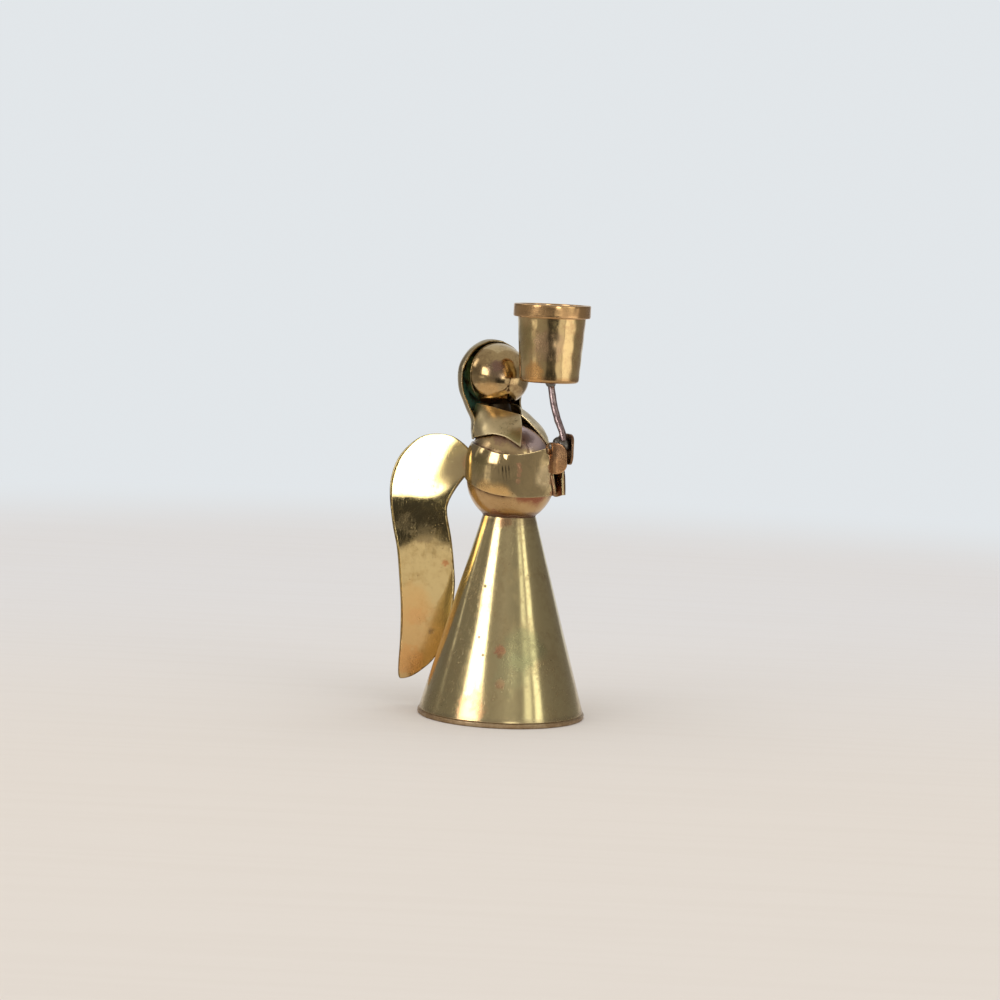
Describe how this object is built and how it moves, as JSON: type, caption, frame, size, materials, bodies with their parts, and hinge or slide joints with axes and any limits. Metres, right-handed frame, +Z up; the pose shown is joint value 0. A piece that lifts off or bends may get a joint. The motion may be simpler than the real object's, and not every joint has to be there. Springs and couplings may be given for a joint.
{
  "type": "angel candle holder",
  "caption": "Soldered sheet-brass angel with a plain cone skirt, bent wings and hooded veil, holding a drawn candle cup up before its blank egg-shaped head.",
  "frame": {"origin": "On the table, at the centre of the skirt's foot ring.", "axes": "+Z is up along the skirt's axis and the candle's way out of its cup. The angel faces -Y, and its left side is towards +X."},
  "size_m": [0.0598, 0.0634, 0.1424],
  "materials": {
    "skirt_brass": "rubbed bright, with fine tarnish and a few spots",
    "ring_brass": "dull tan brown",
    "torso_brass": "bright, with a dark tarnished chest",
    "head_brass": "bright and smooth",
    "veil_brass": "bright outside, dark with green tarnish inside",
    "collar_brass": "satin, lightly pitted",
    "sleeve_brass": "bright, with a reddish patch",
    "hand_brass": "heat-browned",
    "cup_brass": "satin, olive gold",
    "wing_brass": "bright sheet, lightly scratched",
    "dark_wire": "dark brown purple, smooth",
    "solder": "dull, tarnished brown grey"
  },
  "bodies": {
    "root": {"skirt_cone": "skirt_brass", "skirt_seam_solder": "solder", "base_ring": "ring_brass", "waist_solder": "solder", "torso_lower_shell": "torso_brass", "torso_upper_shell": "torso_brass", "neck_tube": "ring_brass", "head_front_shell": "head_brass", "head_back_shell": "head_brass", "veil": "veil_brass", "veil_solder": "solder", "collar": "collar_brass", "collar_solder": "solder", "right_sleeve": "sleeve_brass", "left_sleeve": "sleeve_brass", "right_hand": "hand_brass", "left_hand": "hand_brass", "candle_stem": "dark_wire", "hand_solder": "solder", "cup_solder": "solder", "candle_cup": "cup_brass", "right_wing": "wing_brass", "left_wing": "wing_brass", "right_wing_solder": "solder", "left_wing_solder": "solder"}
  },
  "joints": []
}
